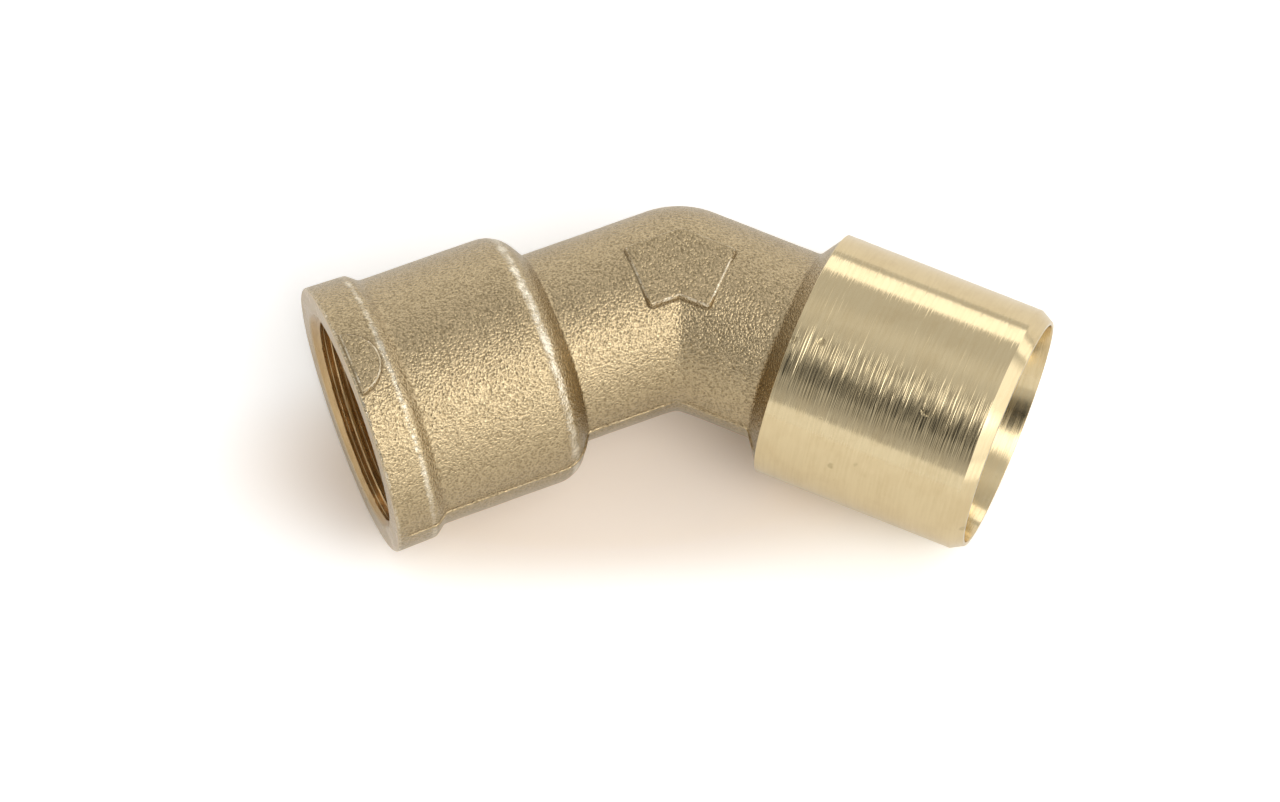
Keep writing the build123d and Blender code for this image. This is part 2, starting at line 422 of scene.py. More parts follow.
def new_group(name: str, inputs: dict[str, str], outputs: Sequence[str]) -> tuple[NodeSheet, Gate]:
    """An empty shader node group.

    Args:
        name: the group's name.
        inputs: the kind of each input, by its name.
        outputs: the names of its outputs, which are all numbers.

    Returns:
        A sheet for the group, and what its Group Input node gives.
    """
    tree = bpy.data.node_groups.new(name, "ShaderNodeTree")
    for socket, kind in inputs.items():
        tree.interface.new_socket(socket, in_out="INPUT", socket_type=kind)
    for socket in outputs:
        tree.interface.new_socket(socket, in_out="OUTPUT", socket_type=FLOAT)
    sheet = NodeSheet(tree)
    sheet.add("NodeGroupOutput", name="out")
    return sheet, sheet.add("NodeGroupInput").outputs


@dataclass(frozen=True)
class SharedEffects:
    """The node groups that more than one finish uses, each built once."""

    grain: Tree
    tool_lines: Tree
    marks: Tree
    wear_and_highlight: Tree

    @classmethod
    def build(cls) -> "SharedEffects":
        """Builds every group."""
        return cls(cls.blasted_grain(), cls.turning_lines(), cls.handling_marks(), cls.worn_and_highlit_edges())

    @staticmethod
    def blasted_grain() -> Tree:
        """Shot-blasted skin: overlapping shallow dimples, finer grit between them, and slow patches.

        Position is in millimetres, and Size is a dimple's width in millimetres.
        """
        inputs = {"Position": VECTOR, "Size": FLOAT}
        sheet, gate = new_group("blasted grain", inputs, ("Height", "Grit", "Patch"))
        scaled = sheet.scaled(gate["Position"], sheet.math("DIVIDE", 1.0, gate["Size"]))
        bumps = sheet.noise(scaled, 0.9, 1.5, 0.55)
        cells = {"Vector": scaled, "Scale": 0.8, "Smoothness": 0.6}
        dimples = sheet.add("ShaderNodeTexVoronoi", cells, feature="SMOOTH_F1").outputs["Distance"]
        grit = sheet.noise(scaled, 2.1, 2.0, 0.7)
        height = sheet.plus(sheet.plus(sheet.times(dimples, 0.45), bumps), sheet.times(grit, 0.25))
        sheet.give(Height=height, Grit=grit, Patch=sheet.noise(gate["Position"], 0.11, 4.0, 0.62))
        return sheet.tree

    @staticmethod
    def turning_lines() -> Tree:
        """Circumferential tool lines: noise that changes fast along the axis and slowly round it.

        Position is in millimetres with the turned axis as X, and Pitch is the lines' spacing.
        """
        inputs = {"Position": VECTOR, "Pitch": FLOAT}
        sheet, gate = new_group("turning lines", inputs, ("Height", "Streak"))
        per_pitch = sheet.math("DIVIDE", 1.0, gate["Pitch"])
        split = sheet.add("ShaderNodeSeparateXYZ", {0: gate["Position"]}).outputs

        def lines(along: float, around: float, shift: float) -> Link:
            """Noise stretched round the axis."""
            x = sheet.times(sheet.times(split[0], per_pitch), along)
            y = sheet.math("MULTIPLY_ADD", split[1], around, shift)
            z = sheet.times(split[2], around)
            joined = sheet.add("ShaderNodeCombineXYZ", {0: x, 1: y, 2: z}).outputs[0]
            return sheet.noise(joined, 1.0, 2.0, 0.6)

        fine, broad, chatter = lines(0.9, 0.06, 0.0), lines(0.28, 0.035, 7.0), lines(0.6, 0.14, 3.0)
        height = sheet.plus(sheet.plus(fine, sheet.times(broad, 0.25)), sheet.times(chatter, 0.3))
        sheet.give(Height=height, Streak=sheet.remap(chatter, 0.35, 0.68))
        return sheet.tree

    @staticmethod
    def handling_marks() -> Tree:
        """Sparse small dings and stains: a few cells of a wide cell pattern hold a soft ragged spot.

        Position is in millimetres. Density is the share of cells that hold a mark.
        """
        inputs = {"Position": VECTOR, "Density": FLOAT}
        sheet, gate = new_group("handling marks", inputs, ("Mark", "Dent"))
        ragged = {"Vector": gate["Position"], "Scale": 0.9, "Detail": 3.0}
        wobble = sheet.add("ShaderNodeTexNoise", ragged).outputs["Color"]
        bent = sheet.vector("ADD", gate["Position"], sheet.scaled(wobble, 1.5)).outputs[0]
        cells = sheet.add("ShaderNodeTexVoronoi", {"Vector": bent, "Scale": 0.22}).outputs
        chance = sheet.add("ShaderNodeSeparateColor", {0: cells["Color"]}).outputs[0]
        held = sheet.math("LESS_THAN", chance, gate["Density"])
        spot = sheet.remap(cells["Distance"], 0.06, 0.22, 1.0, 0.0)
        rim = sheet.times(spot, sheet.remap(cells["Distance"], 0.0, 0.12, 0.2, 1.0))
        sheet.give(Mark=sheet.times(rim, held), Dent=sheet.times(spot, held))
        return sheet.tree

    @staticmethod
    def worn_and_highlit_edges() -> Tree:
        """Edges worn bright in the bin, which also carry a painted highlight: the skin's own rub value,
        broken up by two noises.
        """
        sheet, gate = new_group("rubbed edges", {"Position": VECTOR, "WearAndHighlight": FLOAT}, ("Bright",))
        coarse = sheet.noise(gate["Position"], 0.35, 3.0, 0.6)
        fine = sheet.noise(gate["Position"], 1.6, 2.0, 0.6)
        broken = sheet.plus(sheet.times(coarse, 1.1), sheet.times(fine, 0.9))
        sheet.give(Bright=sheet.remap(sheet.times(gate["WearAndHighlight"], broken), 0.55, 1.15))
        return sheet.tree


def start_material(name: str, arm_turn: float, layout: Layout) -> tuple[NodeSheet, Material, Link]:
    """An empty material with its position in millimetres about the bend, turned so that X is the arm.

    Args:
        name: the material's name.
        arm_turn: the arm's angle about Z in radians, or 0 for a finish without a direction.
        layout: gives the bend's centre.

    Returns:
        The sheet, the material, and the position's output.
    """
    sheet, material = empty_material(name)
    coordinates = sheet.add("ShaderNodeTexCoord").outputs["Object"]
    mapping = sheet.add("ShaderNodeMapping", {"Vector": coordinates}, vector_type="TEXTURE")
    mapping.inputs["Location"].default_value = layout.centre
    mapping.inputs["Rotation"].default_value = (0.0, 0.0, arm_turn)
    mapping.inputs["Scale"].default_value = (MM, MM, MM)
    return sheet, material, mapping.outputs[0]


def empty_material(name: str) -> tuple[NodeSheet, Material]:
    """A new material without nodes, and its sheet."""
    material = bpy.data.materials.new(name)
    material.use_nodes = True
    material.node_tree.nodes.clear()
    return NodeSheet(material.node_tree), material


def end_with_metal(sheet: NodeSheet, colour: Link, rough: Link, normal: Link) -> bpy.types.Node:
    """Ends a material with a metal surface, and gives its shader for the finish's own settings."""
    inputs = {"Base Color": colour, "Metallic": 1.0, "Roughness": rough, "Normal": normal}
    shader = sheet.add("ShaderNodeBsdfPrincipled", inputs)
    sheet.add("ShaderNodeOutputMaterial", {"Surface": shader.outputs[0]})
    return shader


@dataclass(frozen=True)
class ForgedFinish:
    """Hot-forged brass, shot blasted: a matte tan metal with a fine orange-peel grain.

    Args:
        name: the material's name.
        dark: the brass in the dimples' pits.
        pale: the brass between them.
        wear_and_highlight: the colour of worn edges, pale enough that it also paints a highlight there.
        stain_and_crease_shade: a painted shade in the crease at a pad's foot, as a dark colour.
        dimple: a dimple's width in millimetres.
        depth: the bump's depth in millimetres.
        roughness: its lowest and highest roughness.
    """

    name: str = "forged_brass"
    dark: Colour = (0.318, 0.241, 0.133, 1.0)
    pale: Colour = (0.575, 0.457, 0.278, 1.0)
    wear_and_highlight: Colour = (0.97, 0.89, 0.72, 1.0)
    stain_and_crease_shade: Colour = (0.13, 0.09, 0.05, 1.0)
    dimple: float = 0.39
    depth: float = 0.22
    roughness: tuple[float, float] = (0.11, 0.2)

    def build(self, effects: SharedEffects, layout: Layout) -> Material:
        """Builds the material: patches and grain for colour, dimples for bump, worn edges with a painted
        highlight on top.

        Where the skin's rub value is below zero, it takes a painted shade.
        """
        sheet, material, position = start_material(self.name, 0.0, layout)
        grain = sheet.group(effects.grain, {"Position": position, "Size": self.dimple}).outputs
        wear_highlight_shade = sheet.add("ShaderNodeAttribute", attribute_name="wear_highlight_shade").outputs["Fac"]
        bright = sheet.group(effects.wear_and_highlight, {"Position": position, "WearAndHighlight": wear_highlight_shade}).outputs[0]
        mottled = sheet.math("MULTIPLY_ADD", grain["Patch"], 0.12, grain["Height"])
        share = sheet.remap(mottled, 0.62, 1.06)
        colour = sheet.mix(share, self.dark, self.pale)
        # Worn edges take a near-white colour: partly wear, partly a painted highlight.
        colour = sheet.mix(sheet.times(bright, 0.9), colour, self.wear_and_highlight)
        # Below zero the rub value paints shade into the colour, in the crease at a pad's foot.
        crease_shade = sheet.math("MAXIMUM", sheet.times(wear_highlight_shade, -1.0), 0.0)
        colour = sheet.mix(sheet.times(crease_shade, share), colour, self.stain_and_crease_shade)
        rough = sheet.remap(grain["Grit"], 0.3, 0.7, *self.roughness)
        rough = sheet.times(rough, sheet.math("MULTIPLY_ADD", bright, -0.35, 1.0))
        worn = sheet.times(grain["Height"], sheet.math("MULTIPLY_ADD", bright, -0.75, 1.0))
        end_with_metal(sheet, colour, rough, sheet.bump(worn, self.depth))
        return material


@dataclass(frozen=True)
class TurnedFinish:
    """Machined brass: bright, with tool lines round the axis, faint stains and a few dings.

    Args:
        name: the material's name.
        arm_turn: the arm's angle about Z in radians.
        deep: the brass in stains and streaks.
        clear: the brass between them.
        pitch: the tool lines' spacing in millimetres.
        depth: the tool lines' bump in millimetres.
        roughness: its lowest and highest roughness.
        marks: the share of cells that hold a ding.
        stretch: how much longer a reflection is across the lines.
        quarter: the share of a turn from the wrap's direction to that stretch.
        stain_and_crease_shade: the colour of a ding.
        dent: a ding's depth in millimetres.
    """

    name: str
    arm_turn: float
    deep: Colour
    clear: Colour
    pitch: float
    depth: float
    roughness: tuple[float, float]
    marks: float = 0.0
    stretch: float = 0.75
    quarter: float = 0.25
    stain_and_crease_shade: Colour = (0.36, 0.27, 0.13, 1.0)
    dent: float = 0.05

    def build(self, effects: SharedEffects, layout: Layout) -> Material:
        """Builds the material: stretched noise for bump and roughness, cell spots for the dings."""
        sheet, material, position = start_material(self.name, self.arm_turn, layout)
        lines = sheet.group(effects.tool_lines, {"Position": position, "Pitch": self.pitch}).outputs
        marks = sheet.group(effects.marks, {"Position": position, "Density": self.marks}).outputs
        stain = sheet.remap(sheet.noise(position, 0.16, 4.0, 0.65), 0.42, 0.72)
        share = sheet.math("MULTIPLY_ADD", stain, 0.35, sheet.times(lines["Streak"], 0.25))
        colour = sheet.mix(share, self.clear, self.deep)
        colour = sheet.mix(sheet.times(marks["Mark"], 0.55), colour, self.stain_and_crease_shade)
        rough = sheet.remap(lines["Streak"], 0.0, 1.0, *self.roughness)
        normal = sheet.bump(lines["Height"], self.depth)
        normal = sheet.bump(marks["Dent"], self.dent, normal, invert=True)
        shader = end_with_metal(sheet, colour, rough, normal)
        shader.inputs["Anisotropic"].default_value = self.stretch
        shader.inputs["Anisotropic Rotation"].default_value = self.quarter
        tangent = sheet.add("ShaderNodeTangent", direction_type="UV_MAP", uv_map=WRAP)
        sheet.feed(shader.inputs["Tangent"], tangent.outputs[0])
        return material


@dataclass(frozen=True)
class Finishes:
    """Every finish of the elbow, as built materials."""

    forged: Material
    turned: Material
    cup_face: Material
    socket_face: Material
    waterway: Material
    thread: Material

    @classmethod
    def build(cls, layout: Layout) -> "Finishes":
        """Builds the shared effects once and every finish from them."""
        effects = SharedEffects.build()
        cup, socket = layout.cup.turn, layout.socket.turn
        clear, deep = (0.82, 0.68, 0.42, 1.0), (0.70, 0.55, 0.31, 1.0)
        dull, warm = (0.56, 0.44, 0.28, 1.0), (0.68, 0.55, 0.37, 1.0)
        drilled, drilled_pale = (0.58, 0.46, 0.27, 1.0), (0.66, 0.54, 0.32, 1.0)
        groove, crest = (0.42, 0.26, 0.11, 1.0), (0.68, 0.49, 0.26, 1.0)
        finishes = (
            ForgedFinish(),
            TurnedFinish("turned_brass", cup, deep, clear, 0.3, 0.09, (0.11, 0.16), 0.13, 0.6),
            TurnedFinish("faced_brass", cup, deep, clear, 0.3, 0.012, (0.14, 0.2), 0.05, 0.6),
            TurnedFinish("socket_face_brass", socket, dull, warm, 0.3, 0.03, (0.22, 0.32), 0.1),
            TurnedFinish("drilled_brass", cup, drilled, drilled_pale, 0.5, 0.008, (0.25, 0.36), 0.1),
            TurnedFinish("cut_thread_brass", socket, groove, crest, 0.3, 0.004, (0.2, 0.3)),
        )
        return cls(*(finish.build(effects, layout) for finish in finishes))


# ------------------------------------------------------------
# The elbow's zones
# ------------------------------------------------------------


@dataclass
class Ring:
    """A zone that is round about an arm: an outer and an inner outline turned about its axis.

    Args:
        node: the frame's node that it stands for.
        arm: the arm that it is round about.
        outer: corners of (distance, radius, rounding) along the outside.
        inner: the same along the inside, in the other direction.
        forged: whether its outside is forged, and so slightly uneven.
        calm: distances at which the unevenness has died out, where a machined edge follows.
        wear_highlights: (distance, half width, strength) of worn places on the outside, which also get a
            painted highlight.
        columns: how many steps the ring has round its axis.
        step: spacing of the points along the outside.
        inside_step: the same along the inside.
        calm_reach: how far from a calm distance the unevenness is back at its full height.
    """

    node: str
    arm: Arm
    outer: Sequence[Corner]
    inner: Sequence[Corner]
    forged: bool = True
    calm: Sequence[float] = ()
    wear_highlights: Sequence[tuple[float, float, float]] = ()
    columns: int = 256
    step: float = 0.6
    inside_step: float = 1.5
    calm_reach: float = 2.5

    def outline(self) -> tuple[np.ndarray, int]:
        """Every row's (distance, radius), outside first, and how many rows are outside."""
        outer = run_with_rounds(self.outer, self.step)
        return np.concatenate([outer, run_with_rounds(self.inner, self.inside_step)]), len(outer)

    def skin(self) -> Skin:
        """The ring's closed surface: its outline as rows, turned through a full circle.

        A forged outside is lifted by the waviness, which fades out near the calm distances. The strips
        inside the ring take the piece's second material.
        """
        outline, outside = self.outline()
        angle = np.linspace(0, 2 * math.pi, self.columns, endpoint=False)
        points = self.arm.place(outline[:, :1], outline[:, 1:], angle[None])
        along = outline[:outside, 0]
        if self.forged:
            quiet = np.ones(outside)
            for distance in self.calm:
                quiet *= smooth(0.0, self.calm_reach, np.abs(along - distance))
            away = self.arm.place(np.zeros((1, 1)), 1.0, angle[None])
            lift = forging_waviness(points[:outside]) * quiet[:, None]
            points[:outside] += lift[..., None] * away
        wear_highlight_shade = np.zeros(len(outline))
        for distance, width, strength in self.wear_highlights:
            wear_highlight_shade[:outside] += strength * np.exp(-(((along - distance) / width) ** 2))
        finish = (np.arange(len(outline)) >= outside).astype(int)
        return Skin(f"{self.node}_skin", points, wear_highlight_shade=np.clip(wear_highlight_shade, 0, 1), finish_of_row=finish)


@dataclass
class ElbowArm:
    """What both arms share: the plain neck beside the bend, and the waterway in it. Millimetres."""

    arm: Arm
    neck: float = NECK_RADIUS
    waterway: float = WATERWAY_RADIUS
    bend_cut: float = BEND_CUT
    neck_cut: float = 24.0

    def neck_ring(self, node: str) -> Ring:
        """The plain neck beside the bend."""
        outer = [(self.neck_cut, self.neck, 0), (self.bend_cut, self.neck, 0)]
        inner = [(self.bend_cut, self.waterway, 0), (self.neck_cut, self.waterway, 0)]
        return Ring(node, self.arm, outer, inner)

    @staticmethod
    def build_forged(rings: Sequence[Ring], layout: Layout, finishes: Finishes) -> None:
        """Builds rings that are forged outside and drilled inside, and puts them in the frame."""
        for ring in rings:
            piece = ring.skin().build(layout, [finishes.forged, finishes.waterway])
            put_in_frame(piece, ring.node)


@dataclass
class SocketArm(ElbowArm):
    """The threaded arm: the bead, the thread, the barrel, the shoulder and the neck. Millimetres."""

    face: float = 67.0
    bead_front: float = 26.4
    bead_back: float = 26.15
    bead_end: float = 58.9
    bead_foot: float = 56.7
    bead_cut: float = 54.0
    bead_rest: float = 2.0
    barrel: float = 24.4
    barrel_cut: float = 33.2
    shoulder_corner: float = 29.47
    shoulder_round: float = 6.6
    shoulder_foot: float = 25.8
    mouth: float = 21.5
    mouth_depth: float = 1.4
    sleeve: float = 21.2
    sleeve_middle: float = 60.0
    thread_major: float = 20.955
    thread_minor: float = 19.475
    thread_pitch: float = 2.309
    thread_length: float = 24.0
    drilled_end: float = 35.0
    cone_length: float = 3.5

    @property
    def thread_end(self) -> float:
        """Where the thread stops, as a distance from the bend."""
        return self.face - self.thread_length

    @property
    def mouth_slope(self) -> float:
        """How much the countersink widens for each millimetre towards the face."""
        return (self.mouth - self.thread_minor) / self.mouth_depth

    @property
    def sleeve_front(self) -> float:
        """Where the countersink is as wide as the thread sleeve's outside."""
        return self.face - (self.mouth - self.sleeve) / self.mouth_slope

    def countersink(self, distance: np.ndarray) -> np.ndarray:
        """The countersink's radius at a distance: a straight cone that is widest at the face."""
        return self.mouth - (self.face - distance) * self.mouth_slope

    def cone(self, distance: float) -> float:
        """The radius of the cone that joins the drilled hole to the waterway."""
        share = min(1.0, (self.drilled_end - distance) / self.cone_length)
        return self.thread_minor - share * (self.thread_minor - self.waterway)

    def bead(self) -> Ring:
        """The beaded mouth, with its machined face."""
        outer = [
            (self.sleeve_front, self.sleeve, 0),
            (self.face, self.mouth, 0.12),
            (self.face, self.bead_front, 0.55),
            (self.bead_end, self.bead_back, 1.6),
            (self.bead_foot, self.barrel, 1.8),
            (self.bead_cut, self.barrel, 0),
        ]
        inner = [(self.bead_cut, self.sleeve, 0), (self.sleeve_front - 0.4, self.sleeve, 0)]
        # Worn bands at the face's edge and the bead's back, which also paint a highlight there.
        wear_highlights = [(self.face - 0.3, 0.7, 0.75), (self.bead_end + 0.8, 1.1, 0.85)]
        return Ring("mouth_bead", self.arm, outer, inner, calm=(self.face,), wear_highlights=wear_highlights, step=0.4)

    def barrel_ring(self) -> Ring:
        """The barrel behind the bead."""
        outer = [(self.bead_cut, self.barrel, 0), (self.barrel_cut, self.barrel, 0)]
        inner = [
            (self.barrel_cut, self.cone(self.barrel_cut), 0),
            (self.drilled_end, self.thread_minor, 0),
            (self.thread_end, self.thread_minor, 0),
            (self.thread_end, self.sleeve, 0),
            (self.bead_cut, self.sleeve, 0),
        ]
        return Ring("socket_barrel", self.arm, outer, inner)

    def shoulder(self) -> Ring:
        """The rounded shoulder between the barrel and the neck."""
        outer = [
            (self.barrel_cut, self.barrel, 0),
            (self.shoulder_corner, self.barrel, self.shoulder_round),
            (self.shoulder_foot, self.neck, 0.9),
            (self.neck_cut, self.neck, 0),
        ]
        inner = [
            (self.neck_cut, self.waterway, 0),
            (self.drilled_end - self.cone_length, self.waterway, 0),
            (self.barrel_cut, self.cone(self.barrel_cut), 0),
        ]
        # A worn band on the shoulder's round, widened to paint the highlight of the light on it.
        wear_highlights = [(self.shoulder_corner + 0.8, 1.6, 0.93)]
        return Ring("socket_shoulder", self.arm, outer, inner, wear_highlights=wear_highlights, step=0.4)

    def thread(self) -> Skin:
        """The pipe thread as a sleeve whose bore carries a right-hand helical groove.

        With the phase p = distance / pitch, less a turn's share for each turn about the arm, the bore's
        radius runs from minor to major and back once per unit of p along a raised cosine with flattened
        ends. It fades to the minor radius over the last turn, and the countersink cuts it at the mouth.
        """
        distance = np.append(np.arange(self.thread_end, self.sleeve_front, 0.1), self.sleeve_front)
        angle = np.linspace(0, 2 * math.pi, 288, endpoint=False)
        s, a = np.meshgrid(distance, angle, indexing="ij")
        phase = s / self.thread_pitch - self.arm.handed * a / (2 * math.pi)
        wave = np.abs((phase % 1.0) * 2 - 1)
        groove = 0.5 - 0.5 * np.cos(math.pi * np.clip((wave - 0.12) / 0.76, 0, 1))
        fade = smooth(self.thread_end + 0.3, self.thread_end + 1.3 * self.thread_pitch, s)
        radius = self.thread_minor + (self.thread_major - self.thread_minor) * groove * fade
        radius = np.minimum(np.maximum(radius, self.countersink(s)), self.sleeve)
        bore = self.arm.place(s, radius, a)
        back = np.array([[self.sleeve_middle], [self.thread_end]])
        outside = self.arm.place(back, self.sleeve, angle[None])
        return Skin("pipe_thread_skin", np.concatenate([bore, outside]), sharp_angle=50.0)

    def build(self, layout: Layout, finishes: Finishes) -> None:
        """Builds the arm's pieces and puts them in the frame."""
        bead = self.bead()
        skin = bead.skin()
        rows = bead.outline()[0]
        skin.finish_of_row = (rows[:, 0] > self.face - 0.1) | (rows[:, 1] < self.mouth)
        piece = skin.build(layout, [finishes.forged, finishes.socket_face])
        put_in_frame(piece, bead.node)
        rings = (self.barrel_ring(), self.shoulder(), self.neck_ring("socket_neck"))
        self.build_forged(rings, layout, finishes)
        put_in_frame(self.thread().build(layout, [finishes.thread]), "pipe_thread")


@dataclass
class CupArm(ElbowArm):
    """The plain arm: the neck, the forged shoulder and the turned cup. Millimetres."""

    face: float = 67.8
    outer: float = 24.15
    start: float = 25.8
    ledge: float = 0.4
    chamfer: float = 2.5
    chamfer_drop: float = 1.4
    bore: float = 21.05
    depth: float = 27.0
    flare_length: float = 6.5
    flare_radius: float = 22.0
    step_radius: float = 18.4
    step_length: float = 8.0
    neck_end: float = 21.6
    neck_cut: float = 20.4

    def shoulder(self) -> Ring:
        """The forged shoulder that the turned end stands on."""
        outer = [
            (self.start, self.outer - self.ledge, 0),
            (self.neck_end + 0.7, self.neck, 1.6),
            (self.neck_cut, self.neck, 0),
        ]
        inner = [(self.neck_cut, self.waterway, 0), (self.start, self.waterway, 0)]
        return Ring("cup_shoulder", self.arm, outer, inner, calm=(self.start,), step=0.3)

    def cup(self) -> Ring:
        """The turned cup, from its inner edge over the chamfered tip and down the bore."""
        tube_stop = self.face - self.depth
        step_end = tube_stop - self.step_length
        outer = [
            (self.start, self.outer - self.ledge, 0),
            (self.start, self.outer, 0.14),
            (self.face - self.chamfer, self.outer, 0.16),
            (self.face, self.outer - self.chamfer_drop, 0.18),
            (self.face, self.flare_radius, 0.06),
            (self.face - self.flare_length, self.bore, 0.5),
            (tube_stop, self.bore, 0),
        ]
        inner = [
            (tube_stop, self.step_radius, 0),
            (step_end, self.step_radius, 0),
            (step_end - (self.step_radius - self.waterway), self.waterway, 0),
            (self.start, self.waterway, 0),
        ]
        return Ring("turned_cup", self.arm, outer, inner, forged=False, columns=360, step=0.8)

    def build(self, layout: Layout, finishes: Finishes) -> None:
        """Builds the arm's pieces and puts them in the frame."""
        self.build_forged((self.neck_ring("cup_neck"), self.shoulder()), layout, finishes)
        cup = self.cup()
        skin = cup.skin()
        rows = cup.outline()[0]
        tip = rows[:, 0] > self.face - self.chamfer - 0.05
        skin.finish_of_row = tip | (rows[:, 1] < self.flare_radius + 0.1)
        piece = skin.build(layout, [finishes.turned, finishes.cup_face])
        put_in_frame(piece, cup.node)


@dataclass
class Bend:
    """The bend between the two necks: a ball outside, a softened mitre inside. Millimetres."""

    socket: Arm
    cup: Arm
    outer: float = NECK_RADIUS
    inner: float = WATERWAY_RADIUS
    cut: float = BEND_CUT
    crease: float = 0.8
    inner_crease: float = 0.3
    gathering: float = 1.35
    columns: int = 256
    rows: int = 44

    @property
    def half_turn(self) -> float:
        """Half of the bend's angle, in radians."""
        return math.asin(abs(self.socket.direction[1]))

    def half(self, arm: Arm, radius: float, share: np.ndarray, crease: float) -> np.ndarray:
        """One half of a bent tube's wall, from the cut across the arm to the plane between the arms.

        On the inside of the bend each line of the wall runs straight to the mitre plane, and near the
        plane it follows a hyperbola, y - tan(half turn) * (sqrt(x^2 + crease^2) - |x|), which softens
        the crease. On the outside it runs to the square section through the bend's centre, and there
        turns about the upright line through that centre, which makes a ball.

        Args:
            arm: the arm that this half belongs to.
            radius: the wall's radius.
            share: how far along each row lies, from 0 at the cut to 1 at the middle plane.
            crease: the softening's size.

        Returns:
            A grid of points, one row per share.
        """
        angle = np.linspace(0, 2 * math.pi, self.columns, endpoint=False)[None]
        towards = np.cos(angle)
        slope = math.tan(self.half_turn)
        straight = np.where(towards < 0, self.cut + radius * towards * slope, self.cut)
        curved = np.where(towards > 0, radius * towards * self.half_turn, 0.0)
        gone = share[:, None] * (straight + curved)
        past = np.maximum(gone - self.cut, 0) / np.maximum(radius * towards, 1e-9)
        swing = np.where(towards > 1e-9, past, 0.0)
        distance = self.cut - np.minimum(gone, straight)
        points = arm.place(distance, radius, angle)
        swing = swing * -np.sign(arm.direction[0])
        x, y = points[..., 0].copy(), points[..., 1].copy()
        points[..., 0] = x * np.cos(swing) + y * np.sin(swing)
        points[..., 1] = y * np.cos(swing) - x * np.sin(swing)
        soft = crease * np.clip(-towards * 2.2, 0, 1)
        fill = slope * (np.sqrt(points[..., 0] ** 2 + soft**2) - np.abs(points[..., 0]))
        points[..., 1] -= fill * smooth(0.0, 0.35, np.broadcast_to(share[:, None], fill.shape))
        return points

    def wall(self, radius: float, rows: int, crease: float) -> np.ndarray:
        """A whole bent tube wall, from the socket's cut to the cup's, closer together at the crease."""
        share = 1 - (1 - np.linspace(0, 1, rows)) ** self.gathering
        first = self.half(self.socket, radius, share, crease)
        second = self.half(self.cup, radius, share[:-1], crease)
        return np.concatenate([first, second[::-1]])

    def build(self, layout: Layout, finishes: Finishes) -> None:
        """Builds the hollow bend and puts it in the frame."""
        outside = self.wall(self.outer, self.rows, self.crease)
        outside = outside + forging_waviness(outside)[..., None] * self.radial(outside)
        inside = self.wall(self.inner, self.rows // 2, self.inner_crease)[::-1]
        points = np.concatenate([outside, inside])
        finish = np.where(np.arange(len(points)) >= len(outside), 1, 0)
        skin = Skin("bend_skin", points, finish_of_row=finish, sharp_angle=60.0)
        put_in_frame(skin.build(layout, [finishes.forged, finishes.waterway]), "bend")

    def radial(self, points: np.ndarray) -> np.ndarray:
        """Unit vectors square to the wall: away from the nearer arm's axis, or from the centre."""
        side = np.where(points[..., :1] < 0, self.socket.direction, self.cup.direction)
        along = np.maximum(np.einsum("...i,...i->...", points, side), 0.0)[..., None]
        square = points - along * side
        return square / np.linalg.norm(square, axis=-1, keepdims=True)


@dataclass(frozen=True)
class Ground:
    """The height of the forged skin above the level plane, seen from above. Millimetres."""

    socket: Arm
    cup: Arm
    neck: float = NECK_RADIUS

    def over_bend(self, plan: np.ndarray) -> np.ndarray:
        """The skin's height over points of the level plane: the two necks, and the ball between."""
        nearer = np.where(plan[..., :1] < 0, self.socket.direction[:2], self.cup.direction[:2])
        along = np.maximum(np.einsum("...i,...i->...", plan, nearer), 0.0)
        across = np.einsum("...i,...i->...", plan, plan) - along**2
        height = np.sqrt(np.maximum(self.neck**2 - across, 0.0))
        points = np.concatenate([plan, height[..., None]], axis=-1)
        return height + forging_waviness(points)


def rounded_outline(corners: Sequence[Corner], step: float) -> np.ndarray:
    """A closed outline in the level plane with rounded corners, starting in the middle of a side."""
    start = [(corners[0][i] + corners[-1][i]) / 2 for i in range(2)]
    loop = run_with_rounds([(*start, 0), *corners, (*start, 0)], step)
    return loop[:-1]


def outward_normals(loop: np.ndarray) -> np.ndarray:
    """Unit normals of a closed loop, pointing away from its inside."""
    tangent = np.roll(loop, -1, axis=0) - np.roll(loop, 1, axis=0)
    normal = np.stack([tangent[:, 1], -tangent[:, 0]], 1)
    normal /= np.linalg.norm(normal, axis=1, keepdims=True)
    area = np.sum(loop[:, 0] * np.roll(loop[:, 1], -1) - np.roll(loop[:, 0], -1) * loop[:, 1])
    return normal if area > 0 else -normal


